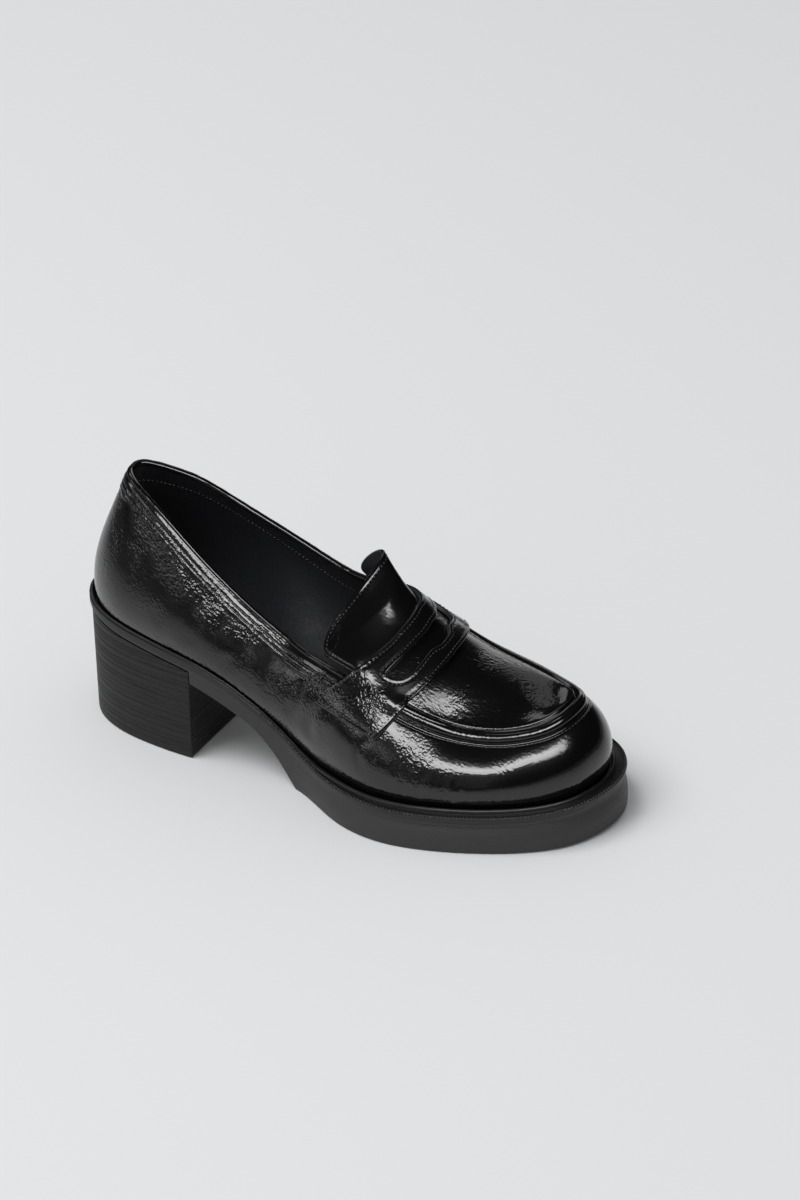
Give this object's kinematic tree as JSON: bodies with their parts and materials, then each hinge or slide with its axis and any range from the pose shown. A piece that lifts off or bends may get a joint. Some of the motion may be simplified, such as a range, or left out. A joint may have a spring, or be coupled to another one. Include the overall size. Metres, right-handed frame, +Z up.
{
  "type": "loafer pump",
  "caption": "Heeled penny loafer for the right foot: hollow patent upper with raised apron seam, saddle strap, tongue, storm welt, platform sole and block heel.",
  "frame": {"origin": "on the floor under the middle of the sole's outline", "axes": "+X from heel to toe, +Y to the medial side of the right shoe, +Z up"},
  "size_m": [0.2524, 0.0956, 0.1246],
  "materials": {
    "sole_rubber": "matte black rubber with fine horizontal grain",
    "heel_stack": "matte black stacked layers",
    "welt_rubber": "satin black, notched rim at the forefoot",
    "patent_leather": "gloss black patent with a fine crinkle",
    "lining_leather": "matte black grained leather"
  },
  "bodies": {
    "root": {"outsole": "sole_rubber", "heel": "heel_stack", "welt": "welt_rubber", "upper": "patent_leather", "tongue": "patent_leather", "saddle_strap": "patent_leather", "topline_binding": "patent_leather", "insole": "lining_leather"}
  },
  "joints": []
}
